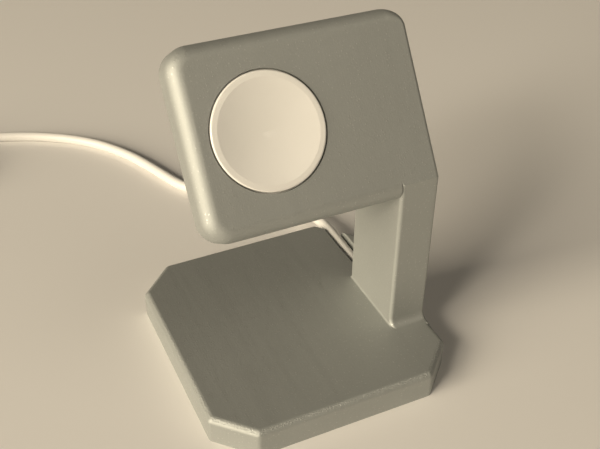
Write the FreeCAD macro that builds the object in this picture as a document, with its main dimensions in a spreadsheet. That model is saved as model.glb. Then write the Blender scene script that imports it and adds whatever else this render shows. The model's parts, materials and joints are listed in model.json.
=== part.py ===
import FreeCAD, Part
import math
import os

import Sketcher

# Charging dock for a smartwatch, in millimetres. X is across, -Y is the front and Z is up.
# The origin is the middle of the base's underside. The dock is one printed piece: a base plate,
# a post at its right side and a head plate that leans back. A round magnetic charging puck sits in
# the head, and its cable runs down a channel in the back of the head and the post.

doc = FreeCAD.newDocument("watch_charging_dock")

SIZES = [
    # Base plate
    ("base_width", 60.0, "base plate, across"),
    ("base_depth", 63.0, "base plate, front to back"),
    ("base_height", 7.0, "base plate, thickness"),
    ("base_corner", 8.5, "each cut corner, along both of its sides"),
    ("base_bevel", 1.0, "bevel round the base's upper edge"),
    ("base_side_round", 1.5, "rounding of the base's upright edges"),
    # Post
    ("post_width", 9.5, "post, across"),
    ("post_depth", 20.0, "post, front to back"),
    ("post_front", 13.2, "front of the post, ahead of the origin"),
    ("crease_height", 47.8, "where the front turns from upright to leaning"),
    ("post_edge", 0.9, "rounding of the edges at the front"),
    ("post_foot", 2.0, "hollow rounding between the post and the base"),
    ("post_sink", 2.0, "post's foot below the base's top, inside the base"),
    # Head plate
    ("tilt", 34.4, "head's lean back from upright, in degrees"),
    ("head_width", 54.3, "head plate, across"),
    ("head_top", 38.6, "crease to the upper edge, up the slope"),
    ("head_drop", 2.6, "crease to the lower edge, down the slope"),
    ("head_thickness", 8.5, "head plate, thickness"),
    ("head_corner", 5.5, "corner radius at the free side"),
    ("arm_corner", 4.8, "corner radius above the post"),
    ("head_rounding", 3.5, "rounding of the front edge"),
    ("head_back_edge", 0.8, "bevel of the back edge"),
    # Seat of the puck in the head
    ("puck_margin", 18.0, "middle of the puck from the head's free side"),
    ("puck_fit", 0.15, "gap round the puck in its seat"),
    ("lip_thickness", 1.1, "lip in front of the puck's shoulder"),
    ("window_fit", 0.35, "gap between the lip and the charging face"),
    # Charging puck
    ("puck_radius", 14.0, "metal cup, outside"),
    ("puck_height", 6.0, "metal cup, shoulder to back"),
    ("puck_wall", 1.0, "metal cup, side wall and floor"),
    ("puck_edge", 0.8, "rounding of the cup's back edge"),
    ("shoulder_gap", 0.1, "lip to the cup's shoulder"),
    ("face_radius", 12.6, "charging face, where it shows"),
    ("face_proud", 0.3, "charging face's rim ahead of the head"),
    ("face_sink", 2.0, "charging face's underside below the shoulder"),
    ("face_edge", 0.4, "rounding of the charging face's rim"),
    ("dish_depth", 0.9, "hollow of the charging face"),
    ("dish_rim", 1.4, "flat rim round the hollow"),
    ("ledge", 1.0, "ledge in the cup under the charging face"),
    ("stack_gap", 0.05, "gap between the parts stacked in the cup"),
    ("coil_outer", 10.8, "charging coil, outside radius"),
    ("coil_inner", 6.6, "charging coil, inside radius"),
    ("coil_thickness", 0.8, "charging coil"),
    ("ferrite_radius", 10.9, "ferrite shield"),
    ("ferrite_thickness", 0.6, "ferrite shield"),
    ("magnet_radius", 4.9, "centre magnet"),
    ("magnet_height", 1.4, "centre magnet"),
    ("yoke_wall", 0.6, "steel cup round the magnet"),
    ("board_radius", 11.3, "round circuit board"),
    ("board_thickness", 0.6, "round circuit board"),
    ("chip_height", 0.45, "chips on the board"),
    ("chip_reach", 8.0, "middle of the chips from the board's middle"),
    ("driver_length", 2.6, "driver chip, across"),
    ("driver_width", 3.2, "driver chip, up the slope"),
    ("rectifier_length", 4.0, "rectifier chip, across"),
    ("rectifier_width", 2.4, "rectifier chip, up the slope"),
    ("capacitor_length", 1.2, "capacitor, across"),
    ("capacitor_width", 0.8, "capacitor, up the slope"),
    ("capacitor_pitch", 2.2, "from one capacitor to the next"),
    ("pad_radius", 9.5, "adhesive pad under the board"),
    ("pad_thickness", 0.15, "adhesive pad"),
    # Cable and its channel
    ("cable_radius", 1.5, "cable"),
    ("cable_gap", 0.15, "gap between the cable and the channel's floor"),
    ("cable_depth", 4.7, "cable's axis behind the head's front"),
    ("channel_width", 3.9, "channel for the cable"),
    ("post_wall", 4.9, "wall in front of the channel in the post"),
    ("base_floor", 3.4, "channel's floor in the base, above the table"),
    ("turn_radius", 8.5, "cable's turn in the head"),
    ("knee_radius", 13.0, "cable's bend behind the crease"),
    ("foot_radius", 9.0, "cable's bend at the post's foot"),
    ("boot_length", 6.0, "boot outside the puck's wall"),
    ("boot_root", 1.8, "boot's radius at the puck"),
    ("boot_tip", 1.6, "boot's radius at its end"),
    ("boot_neck", 1.2, "boot's radius in the puck's wall"),
    ("boot_collar", 1.4, "radius of the boot's collar inside the puck"),
    ("collar_length", 0.8, "boot's collar inside the puck"),
    ("collar_gap", 0.1, "collar to the cup's inner wall"),
    ("board_notch", 1.5, "notch in the board round the boot's collar"),
    ("cable_lead", 9.0, "straight cable behind the base"),
    # Coil of the put-away cable
    ("coil_centre_x", -83.7, "middle of the coil, across"),
    ("coil_centre_y", 111.5, "middle of the coil, front to back"),
    ("coil_turn_radius", 21.5, "outermost turn, at the cable's middle"),
    ("coil_turns_deep", 3.65, "turns side by side"),
    ("coil_layers", 2.0, "layers of turns"),
    ("coil_entry_angle", 73.1, "where the cable joins the coil, in degrees"),
    ("coil_exit_angle", 180.0, "where the cable leaves the coil, in degrees"),
    ("coil_edge", 1.2, "bevel of the coil's edges"),
    ("coil_stub", 12.0, "straight cable where it joins and leaves the coil"),
    # Plug
    ("plug_axis", 3.1, "plug's middle above the table"),
    ("tail_length", 12.0, "cable between the coil and the plug's boot"),
    ("plug_boot_length", 8.0, "plug's boot"),
    ("plug_boot_tip", 1.6, "plug's boot, radius at the cable"),
    ("plug_boot_root", 2.5, "plug's boot, radius at the grip"),
    ("grip_length", 20.0, "plug's grip"),
    ("grip_width", 11.6, "plug's grip"),
    ("grip_height", 6.2, "plug's grip"),
    ("grip_rounding", 1.8, "plug's grip, long edges"),
    ("grip_end_bevel", 0.5, "plug's grip, both ends"),
    ("shell_length", 6.6, "metal shell, outside the grip"),
    ("shell_root", 6.0, "metal shell, inside the grip"),
    ("shell_width", 8.3, "metal shell"),
    ("shell_height", 2.5, "metal shell"),
    ("shell_wall", 0.3, "metal shell"),
    ("shell_rounding", 1.2, "metal shell, long edges outside"),
    ("insert_fit", 0.03, "gap between the shell and its plastic insert"),
    ("insert_recess", 0.6, "insert's front behind the shell's mouth"),
    ("slot_width", 6.75, "slot in the insert"),
    ("slot_height", 0.85, "slot in the insert"),
    ("slot_depth", 5.2, "slot in the insert"),
    ("slot_edge", 0.15, "slot in the insert, long edges"),
    ("contact_count", 8.0, "contacts on each side of the slot"),
    ("contact_pitch", 0.65, "from one contact to the next"),
    ("contact_width", 0.3, "contact"),
    ("contact_height", 0.06, "contact, above the slot's wall"),
    ("contact_length", 4.0, "contact"),
    ("contact_inset", 0.5, "contact, behind the insert's front"),
]

sizes = doc.addObject("Spreadsheet::Sheet", "sizes")
for row, (alias, value, meaning) in enumerate(SIZES, start=1):
    sizes.set(f"A{row}", meaning)
    sizes.set(f"B{row}", str(value))
    sizes.setAlias(f"B{row}", alias)
doc.recompute()

# Places that several pieces share, as expressions of the sizes above. LAP is how far joined solids
# run into each other, and how far a cutter runs past what it cuts.
RIGHT_SIDE = "sizes.base_width / 2"
POST_LEFT = f"({RIGHT_SIDE} - sizes.post_width)"
FREE_SIDE = f"({RIGHT_SIDE} - sizes.head_width)"
POST_MIDDLE = f"({RIGHT_SIDE} - sizes.post_width / 2)"
PUCK_X = f"({FREE_SIDE} + sizes.puck_margin)"
PUCK_SLOPE = "((sizes.head_top - sizes.head_drop) / 2)"
SHOULDER = "(sizes.lip_thickness + sizes.shoulder_gap)"
PUCK_BACK = f"({SHOULDER} + sizes.puck_height)"
FACE_UNDER = f"({SHOULDER} + sizes.face_sink)"
LAP = "1"
ARM_START = f"max(sizes.head_rounding - sizes.head_drop + {LAP}; {LAP})"
CHANNEL_FLOOR = "(sizes.cable_depth - sizes.boot_root - sizes.cable_gap)"
CABLE_Y = "(sizes.post_wall + sizes.cable_gap + sizes.cable_radius - sizes.post_front)"
CABLE_Z = "(sizes.base_floor + sizes.cable_gap + sizes.cable_radius)"
BACK_AT_POST = f"(sizes.base_depth / 2 - max(0; {POST_MIDDLE} - {RIGHT_SIDE} + sizes.base_corner))"


def number(text):
    """The value of an expression in millimetres or degrees."""
    return float(sizes.evalExpression(text))


def origin_plane(body, role):
    """One of a body's own origin planes, such as XY_Plane."""
    return next(plane for plane in body.Origin.OriginFeatures if plane.Role == role)


def new_body(label):
    body = doc.addObject("PartDesign::Body", label)
    body.Label = label
    return body


def outline(body, name, role, corners, offset=None):
    """A closed outline on an origin plane, with each corner held at a pair of expressions."""
    sketch = body.newObject("Sketcher::SketchObject", name)
    sketch.AttachmentSupport = (origin_plane(body, role), [""])
    sketch.MapMode = "FlatFace"
    if offset:
        sketch.setExpression("AttachmentOffset.Base.z", offset)
    places = [FreeCAD.Vector(number(x), number(y), 0) for x, y in corners]
    count = len(places)
    for index in range(count):
        sketch.addGeometry(Part.LineSegment(places[index], places[(index + 1) % count]))
    for index in range(count):
        sketch.addConstraint(Sketcher.Constraint("Coincident", index, 2, (index + 1) % count, 1))
    for index, corner in enumerate(corners):
        for direction, text in zip(("DistanceX", "DistanceY"), corner):
            rule = Sketcher.Constraint(direction, -1, 1, index, 1, number(text))
            held = sketch.addConstraint(rule)
            sketch.setExpression(f"Constraints[{held}]", text)
    return sketch


def pad(body, name, sketch, length, reverse=False, both_ways=False):
    feature = body.newObject("PartDesign::Pad", name)
    feature.Profile = sketch
    feature.setExpression("Length", length)
    feature.Reversed = reverse
    feature.Midplane = both_ways
    doc.recompute()
    return feature


def revolve(body, name, sketch):
    feature = body.newObject("PartDesign::Revolution", name)
    feature.Profile = sketch
    feature.ReferenceAxis = (sketch, ["V_Axis"])
    feature.Angle = 360
    doc.recompute()
    return feature


def edges_where(shape, test):
    """The names of the edges that pass a test on their two ends and their middle."""
    names = []
    for index, edge in enumerate(shape.Edges, start=1):
        middle = edge.valueAt((edge.FirstParameter + edge.LastParameter) / 2)
        if test(edge, middle):
            names.append(f"Edge{index}")
    return names


def dress(body, kind, name, base, test, size):
    """A PartDesign fillet or chamfer on the edges of a feature that pass a test."""
    feature = body.newObject(f"PartDesign::{kind}", name)
    feature.Base = (base, edges_where(base.Shape, test))
    feature.setExpression("Radius" if kind == "Fillet" else "Size", size)
    doc.recompute()
    return feature


def near(value, target, slack=1e-3):
    return abs(value - target) < slack


def goes_round(edge, radius):
    """Whether an edge is a full circle of at least about a radius."""
    return edge.Length > 6 * radius


def runs_along(edge, axis):
    """Whether an edge is straight and parallel to an axis."""
    if not isinstance(edge.Curve, Part.Line):
        return False
    return abs(abs(edge.Curve.Direction.dot(axis)) - 1) < 1e-6


X_AXIS = FreeCAD.Vector(1, 0, 0)
Y_AXIS = FreeCAD.Vector(0, 1, 0)
Z_AXIS = FreeCAD.Vector(0, 0, 1)


def lay_on_head(piece, x="0", slope="0", depth="0"):
    """Places a piece in the head's own frame: X across, Y up the slope, Z out of the front."""
    piece.Placement = FreeCAD.Placement(FreeCAD.Vector(), FreeCAD.Rotation(X_AXIS, 90))
    piece.setExpression("Placement.Rotation.Angle", "90 - sizes.tilt")
    piece.setExpression("Placement.Base.x", x)
    piece.setExpression(
        "Placement.Base.y",
        f"-sizes.post_front + {slope} * sin(sizes.tilt) + {depth} * cos(sizes.tilt)")
    piece.setExpression(
        "Placement.Base.z",
        f"sizes.crease_height + {slope} * cos(sizes.tilt) - {depth} * sin(sizes.tilt)")
    return piece


def lay_on_puck(piece, depth="0"):
    """Places a piece on the puck's axis, at a depth behind the head's front."""
    return lay_on_head(piece, PUCK_X, PUCK_SLOPE, depth)


def combine(kind, label, first, *others):
    """A boolean of two or more pieces: Cut, Common or MultiFuse."""
    result = doc.addObject(f"Part::{kind}", label)
    result.Label = label
    if kind == "MultiFuse":
        result.Shapes = [first, *others]
        result.Refine = True
    else:
        result.Base = first
        result.Tool = others[0]
    doc.recompute()
    return result


def primitive(kind, label, **expressions):
    piece = doc.addObject(f"Part::{kind}", label)
    piece.Label = label
    for name, text in expressions.items():
        piece.setExpression(name, text)
    return piece


def make_base():
    """The base plate: a rectangle with four cut corners, soft upright edges and a bevelled top."""
    body = new_body("base_plate")
    w, d = "sizes.base_width / 2", "sizes.base_depth / 2"
    w_in, d_in = f"{w} - sizes.base_corner", f"{d} - sizes.base_corner"
    corners = [(w, f"-({d_in})"), (w, d_in), (w_in, d), (f"-({w_in})", d),
               (f"-({w})", d_in), (f"-({w})", f"-({d_in})"), (f"-({w_in})", f"-({d})"),
               (w_in, f"-({d})")]
    plate = pad(body, "base_pad", outline(body, "base_outline", "XY_Plane", corners),
                "sizes.base_height")
    soft = dress(body, "Fillet", "base_side", plate,
                 lambda edge, middle: runs_along(edge, Z_AXIS), "sizes.base_side_round")
    top = number("sizes.base_height")
    dress(body, "Chamfer", "base_edge", soft,
          lambda edge, middle: near(middle.z, top), "sizes.base_bevel")
    return body


def make_post():
    """The post and the stretch of the arm that leans back behind the crease."""
    body = new_body("post")
    reach = f"({ARM_START} + {LAP})"
    front, back = "-sizes.post_front", "(sizes.post_depth - sizes.post_front)"
    knee_rise = (f"(({back} + sizes.post_front - sizes.head_thickness * cos(sizes.tilt))"
                 " / sin(sizes.tilt))")
    knee = (back, f"sizes.crease_height + {knee_rise} * cos(sizes.tilt)"
                  " - sizes.head_thickness * sin(sizes.tilt)")
    inside = "(sizes.head_thickness / 2)"
    toe = f"{front} - sizes.post_foot - {LAP}"
    corners = [
        (toe, "sizes.base_height - sizes.post_sink"),
        (toe, "sizes.base_height"),
        (front, "sizes.base_height"),
        (front, "sizes.crease_height"),
        (f"{front} + {reach} * sin(sizes.tilt)", f"sizes.crease_height + {reach} * cos(sizes.tilt)"),
        (f"{front} + {reach} * sin(sizes.tilt) + {inside} * cos(sizes.tilt)",
         f"sizes.crease_height + {reach} * cos(sizes.tilt) - {inside} * sin(sizes.tilt)"),
        (f"{front} + {knee_rise} * sin(sizes.tilt) + {inside} * cos(sizes.tilt)",
         f"sizes.crease_height + {knee_rise} * cos(sizes.tilt) - {inside} * sin(sizes.tilt)"),
        knee,
        (back, "sizes.base_height - sizes.post_sink"),
    ]
    sketch = outline(body, "post_side", "YZ_Plane", corners, POST_LEFT)
    column = pad(body, "post_pad", sketch, "sizes.post_width")
    y, z = number(front), number("sizes.base_height")
    foot = dress(body, "Fillet", "post_foot_round", column,
                 lambda edge, middle: near(middle.y, y) and near(middle.z, z), "sizes.post_foot")
    right, crease = number(RIGHT_SIDE), number("sizes.crease_height")

    def at_front(edge, middle):
        """The two upright edges, and the leaning one above the crease on the outside."""
        meets_crease = any(near(corner.Z, crease) for corner in edge.Vertexes)
        return ((runs_along(edge, Z_AXIS) and near(middle.y, y))
                or (near(middle.x, right) and meets_crease))

    dress(body, "Fillet", "post_edge_round", foot, at_front, "sizes.post_edge")
    return body


def make_head():
    """The head plate, in the head's own frame, with a rounded front edge and a bevelled back."""
    body = new_body("head_plate")
    corners = [
        (FREE_SIDE, "-sizes.head_drop"),
        (POST_LEFT, "-sizes.head_drop"),
        (POST_LEFT, ARM_START),
        (RIGHT_SIDE, ARM_START),
        (RIGHT_SIDE, "sizes.head_top"),
        (FREE_SIDE, "sizes.head_top"),
    ]
    sketch = outline(body, "head_outline", "XY_Plane", corners)
    plate = pad(body, "head_pad", sketch, "sizes.head_thickness", reverse=True)
    left, right, top = number(FREE_SIDE), number(RIGHT_SIDE), number("sizes.head_top")
    free = dress(body, "Fillet", "free_corners", plate,
                 lambda edge, middle: runs_along(edge, Z_AXIS) and near(middle.x, left),
                 "sizes.head_corner")
    dress(body, "Fillet", "arm_corner_round", free,
          lambda edge, middle: (runs_along(edge, Z_AXIS) and near(middle.x, right)
                                and near(middle.y, top)),
          "sizes.arm_corner")
    return round_head(body)


def round_head(body):
    """The front edge's rounding, which narrows round the arm's corner to the post's own."""
    wide, narrow = number("sizes.head_rounding"), number("sizes.post_edge")
    right, arm_start = number(RIGHT_SIDE), number(ARM_START)
    arm_x = right - number("sizes.arm_corner")
    arm_y = number("sizes.head_top") - number("sizes.arm_corner")
    back, bevel = -number("sizes.head_thickness"), number("sizes.head_back_edge")

    def joins_post(middle):
        beside = near(middle.x, number(POST_LEFT)) and middle.y < arm_start
        return beside or near(middle.y, arm_start)

    front_edges = []
    for index, edge in enumerate(body.Shape.Edges, start=1):
        middle = edge.valueAt((edge.FirstParameter + edge.LastParameter) / 2)
        if not near(middle.z, 0) or joins_post(middle):
            continue
        if near(middle.x, right):
            front_edges.append((index, narrow, narrow))
        elif middle.x > arm_x and middle.y > arm_y:
            starts_on_top = edge.valueAt(edge.FirstParameter).y > edge.valueAt(edge.LastParameter).y
            radii = (wide, narrow) if starts_on_top else (narrow, wide)
            front_edges.append((index, *radii))
        else:
            front_edges.append((index, wide, wide))
    rounded = doc.addObject("Part::Fillet", "head_front_round")
    rounded.Base = body
    rounded.Edges = front_edges
    doc.recompute()
    bevelled = doc.addObject("Part::Chamfer", "head_back_bevel")
    bevelled.Base = rounded
    found = edges_where(rounded.Shape,
                        lambda edge, middle: near(middle.z, back) and not joins_post(middle))
    bevelled.Edges = [(int(name[4:]), bevel, bevel) for name in found]
    doc.recompute()
    return bevelled


def make_channel_in_head():
    """The cutter for the channel from the puck to the arm and down, open at the back."""
    body = new_body("head_channel")
    half = "sizes.channel_width / 2"
    inner, outer = f"{POST_MIDDLE} - {half}", f"{POST_MIDDLE} + {half}"
    start = PUCK_X
    low = f"{PUCK_SLOPE} - sizes.turn_radius - sizes.channel_width"
    corners = [
        (start, f"{PUCK_SLOPE} + {half}"),
        (start, f"{PUCK_SLOPE} - {half}"),
        (inner, f"{PUCK_SLOPE} - {half}"),
        (inner, low),
        (outer, low),
        (outer, f"{PUCK_SLOPE} + {half}"),
    ]
    offset = f"-{CHANNEL_FLOOR}"
    sketch = outline(body, "channel_outline", "XY_Plane", corners, offset)
    length = "sizes.post_depth * 2 + sizes.head_thickness"
    block = pad(body, "channel_pad", sketch, length, reverse=True)
    x_in, x_out = number(inner), number(outer)
    y_in = number(f"{PUCK_SLOPE} - {half}")
    y_out = number(f"{PUCK_SLOPE} + {half}")
    turned = dress(body, "Fillet", "turn_inside", block,
                   lambda edge, middle: (runs_along(edge, Z_AXIS) and near(middle.x, x_in)
                                         and near(middle.y, y_in)),
                   f"sizes.turn_radius - {half}")
    dress(body, "Fillet", "turn_outside", turned,
          lambda edge, middle: (runs_along(edge, Z_AXIS) and near(middle.x, x_out)
                                and near(middle.y, y_out)),
          f"sizes.turn_radius + {half}")
    return lay_on_head(body)


def make_channel_in_post():
    """The cutter for the channel down the back of the post and out over the base."""
    body = new_body("post_channel")
    high = f"({PUCK_SLOPE} - sizes.turn_radius)"
    floor_y = "(sizes.post_wall - sizes.post_front)"
    knee = f"((sizes.post_wall - {CHANNEL_FLOOR} * cos(sizes.tilt)) / sin(sizes.tilt))"
    rear = "sizes.base_depth"
    corners = [
        (f"-sizes.post_front + {high} * sin(sizes.tilt) + {CHANNEL_FLOOR} * cos(sizes.tilt)",
         f"sizes.crease_height + {high} * cos(sizes.tilt) - {CHANNEL_FLOOR} * sin(sizes.tilt)"),
        (floor_y,
         f"sizes.crease_height + {knee} * cos(sizes.tilt) - {CHANNEL_FLOOR} * sin(sizes.tilt)"),
        (floor_y, "sizes.base_floor"),
        (rear, "sizes.base_floor"),
        (rear,
         f"sizes.crease_height + {high} * cos(sizes.tilt) - {CHANNEL_FLOOR} * sin(sizes.tilt)"),
    ]
    sketch = outline(body, "post_channel_side", "YZ_Plane", corners, POST_MIDDLE)
    block = pad(body, "post_channel_pad", sketch, "sizes.channel_width", both_ways=True)
    y, z_foot, z_knee = number(floor_y), number("sizes.base_floor"), number(corners[1][1])
    reach = "sizes.cable_radius + sizes.cable_gap"
    foot = dress(body, "Fillet", "foot_bend", block,
                 lambda edge, middle: near(middle.y, y) and near(middle.z, z_foot),
                 f"sizes.foot_radius + {reach}")
    dress(body, "Fillet", "knee_bend", foot,
          lambda edge, middle: near(middle.y, y) and near(middle.z, z_knee),
          f"sizes.knee_radius + {reach}")
    return body


def make_stand():
    """The printed piece: base, post and head in one, with the puck's seat and the channel."""
    head = lay_on_head(make_head())
    blank = combine("MultiFuse", "stand_blank", make_base(), make_post(), head)
    seat = lay_on_puck(primitive("Cylinder", "puck_seat",
                                 Radius="sizes.puck_radius + sizes.puck_fit",
                                 Height="sizes.head_thickness * 2"),
                       "(sizes.lip_thickness + sizes.head_thickness * 2)")
    window = lay_on_puck(primitive("Cylinder", "face_window",
                                   Radius="sizes.face_radius + sizes.window_fit",
                                   Height="sizes.head_thickness * 2"),
                         "sizes.head_thickness")
    tools = combine("MultiFuse", "stand_cutters", seat, window,
                    make_channel_in_head(), make_channel_in_post())
    return combine("Cut", "stand", blank, tools)


def turned_piece(label, profile):
    """A piece turned about the puck's axis from radius and depth corners."""
    body = new_body(label)
    corners = [(radius, f"-({depth})") for radius, depth in profile]
    revolve(body, f"{label}_turned", outline(body, f"{label}_profile", "XZ_Plane", corners))
    return body


def make_puck_housing():
    """The puck's metal cup, open at the front, with a ledge for the face and a hole for the boot."""
    ledge_radius = "sizes.puck_radius - sizes.puck_wall - sizes.ledge"
    mouth_radius = "sizes.puck_radius - sizes.puck_wall"
    floor = f"{PUCK_BACK} - sizes.puck_wall"
    body = turned_piece("housing_blank", [
        ("0", floor), (ledge_radius, floor), (ledge_radius, FACE_UNDER),
        (mouth_radius, FACE_UNDER), (mouth_radius, SHOULDER), ("sizes.puck_radius", SHOULDER),
        ("sizes.puck_radius", PUCK_BACK), ("0", PUCK_BACK)])
    radius, back = number("sizes.puck_radius"), -number(PUCK_BACK)
    dress(body, "Fillet", "housing_back_edge", body.Tip,
          lambda edge, middle: near(middle.z, back) and goes_round(edge, radius), "sizes.puck_edge")
    return combine("Cut", "puck_housing", lay_on_puck(body), boot_hole())


def boot_hole():
    """The hole through the cup's wall, on the side of the post."""
    hole = primitive("Cylinder", "boot_hole", Radius="sizes.boot_neck + sizes.stack_gap",
                     Height=f"sizes.puck_wall + sizes.ledge + {LAP} * 2")
    return lay_along_cable(hole, f"sizes.puck_radius - sizes.puck_wall - sizes.ledge - {LAP}")


def lay_along_cable(piece, start):
    """Places a piece so that its Z axis runs from the puck towards the post, along the cable."""
    turn = FreeCAD.Rotation(X_AXIS, 90 - number("sizes.tilt")).multiply(
        FreeCAD.Rotation(Y_AXIS, 90))
    piece.Placement = FreeCAD.Placement(FreeCAD.Vector(), turn)
    piece.setExpression("Placement.Base.x", f"{PUCK_X} + {start}")
    piece.setExpression(
        "Placement.Base.y",
        f"-sizes.post_front + {PUCK_SLOPE} * sin(sizes.tilt) + sizes.cable_depth * cos(sizes.tilt)")
    piece.setExpression(
        "Placement.Base.z",
        f"sizes.crease_height + {PUCK_SLOPE} * cos(sizes.tilt) - sizes.cable_depth * sin(sizes.tilt)")
    return piece


def make_charging_face():
    """The white face: a stepped disc that stands through the lip, with a shallow hollow."""
    neck, foot = "sizes.face_radius", "sizes.puck_radius - sizes.puck_wall - sizes.stack_gap"
    body = turned_piece("face_blank", [
        ("0", "-sizes.face_proud"), (neck, "-sizes.face_proud"), (neck, SHOULDER),
        (foot, SHOULDER), (foot, f"{FACE_UNDER} - sizes.stack_gap"),
        ("0", f"{FACE_UNDER} - sizes.stack_gap")])
    proud, radius = number("sizes.face_proud"), number("sizes.face_radius")
    dress(body, "Fillet", "face_rim", body.Tip,
          lambda edge, middle: near(middle.z, proud) and goes_round(edge, radius), "sizes.face_edge")
    reach = "(sizes.face_radius - sizes.dish_rim)"
    squares = f"({reach} * {reach} + sizes.dish_depth * sizes.dish_depth)"
    ball_radius = f"({squares} / (2 * sizes.dish_depth))"
    ball = primitive("Sphere", "face_hollow", Radius=ball_radius)
    lay_on_puck(ball, f"(sizes.dish_depth - {ball_radius} - sizes.face_proud)")
    return combine("Cut", "charging_face", lay_on_puck(body), ball)


def make_puck_inside():
    """What the cup holds, from the face backwards: coil, ferrite, magnet and its cup, board, pad."""
    coil_top = f"{FACE_UNDER} + sizes.stack_gap"
    coil_under = f"{coil_top} + sizes.coil_thickness"
    ferrite_top = f"{coil_under} + sizes.stack_gap"
    ferrite_under = f"{ferrite_top} + sizes.ferrite_thickness"
    magnet_under = f"{coil_top} + sizes.magnet_height"
    yoke_in = "sizes.magnet_radius + sizes.stack_gap"
    yoke_out = f"{yoke_in} + sizes.yoke_wall"
    yoke_under = f"{magnet_under} + sizes.stack_gap + sizes.yoke_wall"
    floor = f"{PUCK_BACK} - sizes.puck_wall"
    pad_under = f"{floor} - sizes.stack_gap"
    pad_top = f"{pad_under} - sizes.pad_thickness"
    board_under = f"{pad_top} - sizes.stack_gap"
    board_top = f"{board_under} - sizes.board_thickness"
    hole = f"{yoke_out} + sizes.stack_gap"
    pieces = [
        turned_piece("charging_coil", [
            ("sizes.coil_inner", coil_top), ("sizes.coil_outer", coil_top),
            ("sizes.coil_outer", coil_under), ("sizes.coil_inner", coil_under)]),
        turned_piece("ferrite_shield", [
            (hole, ferrite_top), ("sizes.ferrite_radius", ferrite_top),
            ("sizes.ferrite_radius", ferrite_under), (hole, ferrite_under)]),
        turned_piece("centre_magnet", [
            ("0", coil_top), ("sizes.magnet_radius", coil_top),
            ("sizes.magnet_radius", magnet_under), ("0", magnet_under)]),
        turned_piece("magnet_yoke", [
            ("0", f"{magnet_under} + sizes.stack_gap"), (yoke_in, f"{magnet_under} + sizes.stack_gap"),
            (yoke_in, coil_top), (yoke_out, coil_top), (yoke_out, yoke_under), ("0", yoke_under)]),
        turned_piece("adhesive_pad", [
            ("0", pad_top), ("sizes.pad_radius", pad_top),
            ("sizes.pad_radius", pad_under), ("0", pad_under)]),
    ]
    for piece in pieces:
        lay_on_puck(piece)
    pieces.append(make_board(board_top, board_under, yoke_out))
    pieces.append(make_chips(board_top))
    return pieces


def make_board(top, under, yoke_out):
    """The round circuit board, cut away where the boot's collar enters the cup."""
    body = turned_piece("board_blank", [
        ("0", top), ("sizes.board_radius", top), ("sizes.board_radius", under), ("0", under)])
    half = "(sizes.boot_collar + sizes.board_notch / 2)"
    notch = primitive("Box", "board_notch", Length="sizes.board_notch * 2",
                      Width=f"{half} * 2", Height="sizes.board_thickness * 4")
    lay_on_head(notch, f"{PUCK_X} + sizes.board_radius - sizes.board_notch",
                f"({PUCK_SLOPE} - {half})", f"({under} + sizes.board_thickness)")
    return combine("Cut", "circuit_board", lay_on_puck(body), notch)


def make_chips(board_top):
    """Two chips and a row of capacitors on the board, as one group."""
    kinds = {
        "driver": ("sizes.driver_length", "sizes.driver_width"),
        "rectifier": ("sizes.rectifier_length", "sizes.rectifier_width"),
        "capacitor": ("sizes.capacitor_length", "sizes.capacitor_width"),
    }
    row = "sizes.capacitor_pitch"
    spots = [
        ("driver", "-sizes.chip_reach", "0"),
        ("rectifier", "0", "sizes.chip_reach"),
        ("capacitor", f"-{row}", "-sizes.chip_reach"),
        ("capacitor", "0", "-sizes.chip_reach"),
        ("capacitor", row, "-sizes.chip_reach"),
    ]
    chips = []
    for index, (kind, x, slope) in enumerate(spots, start=1):
        length, width = kinds[kind]
        chip = primitive("Box", f"{kind}_{index}", Length=length, Width=width,
                         Height="sizes.chip_height")
        lay_on_head(chip, f"{PUCK_X} + {x} - {length} / 2",
                    f"({PUCK_SLOPE} + {slope} - {width} / 2)", f"({board_top})")
        chips.append(chip)
    return combine("MultiFuse", "board_chips", *chips)


def make_boot():
    """The boot where the cable leaves the puck, with a collar inside the cup's wall."""
    inside = "sizes.puck_radius - sizes.puck_wall - sizes.ledge"
    taper = primitive("Cone", "boot_taper", Radius1="sizes.boot_root", Radius2="sizes.boot_tip",
                      Height="sizes.boot_length")
    lay_along_cable(taper, "sizes.puck_radius")
    neck = primitive("Cylinder", "boot_neck", Radius="sizes.boot_neck",
                     Height="sizes.puck_wall + sizes.ledge + sizes.collar_gap")
    lay_along_cable(neck, f"{inside} - sizes.collar_gap")
    collar = primitive("Cylinder", "boot_collar", Radius="sizes.boot_collar",
                       Height="sizes.collar_length")
    lay_along_cable(collar, f"{inside} - sizes.collar_gap - sizes.collar_length")
    return combine("MultiFuse", "puck_strain_relief", taper, neck, collar)


ARC_SHARE = 0.45


def bend_radius(before, corner, after):
    """The arc at a corner of a route, which takes up a share of the shorter run beside it."""
    one, two = corner - before, after - corner
    half_turn = one.getAngle(two) / 2
    return ARC_SHARE * min(one.Length, two.Length) / math.tan(half_turn)


def route(points, radii=None):
    """Straight runs through the points, joined by tangent arcs."""
    edges, start, used = [], points[0], []
    for index in range(1, len(points) - 1):
        before, corner, after = points[index - 1:index + 2]
        one, two = (corner - before).normalize(), (after - corner).normalize()
        half_turn = one.getAngle(two) / 2
        radius = radii[index - 1] if radii else bend_radius(before, corner, after)
        used.append(radius)
        setback = radius * math.tan(half_turn)
        enter, leave = corner - one * setback, corner + two * setback
        inward = (two - one).normalize()
        middle = corner + inward * (radius / math.cos(half_turn) - radius)
        edges.append(Part.LineSegment(start, enter).toShape())
        edges.append(Part.Arc(enter, middle, leave).toShape())
        start = leave
    edges.append(Part.LineSegment(start, points[-1]).toShape())
    return Part.Wire(edges), used


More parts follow.
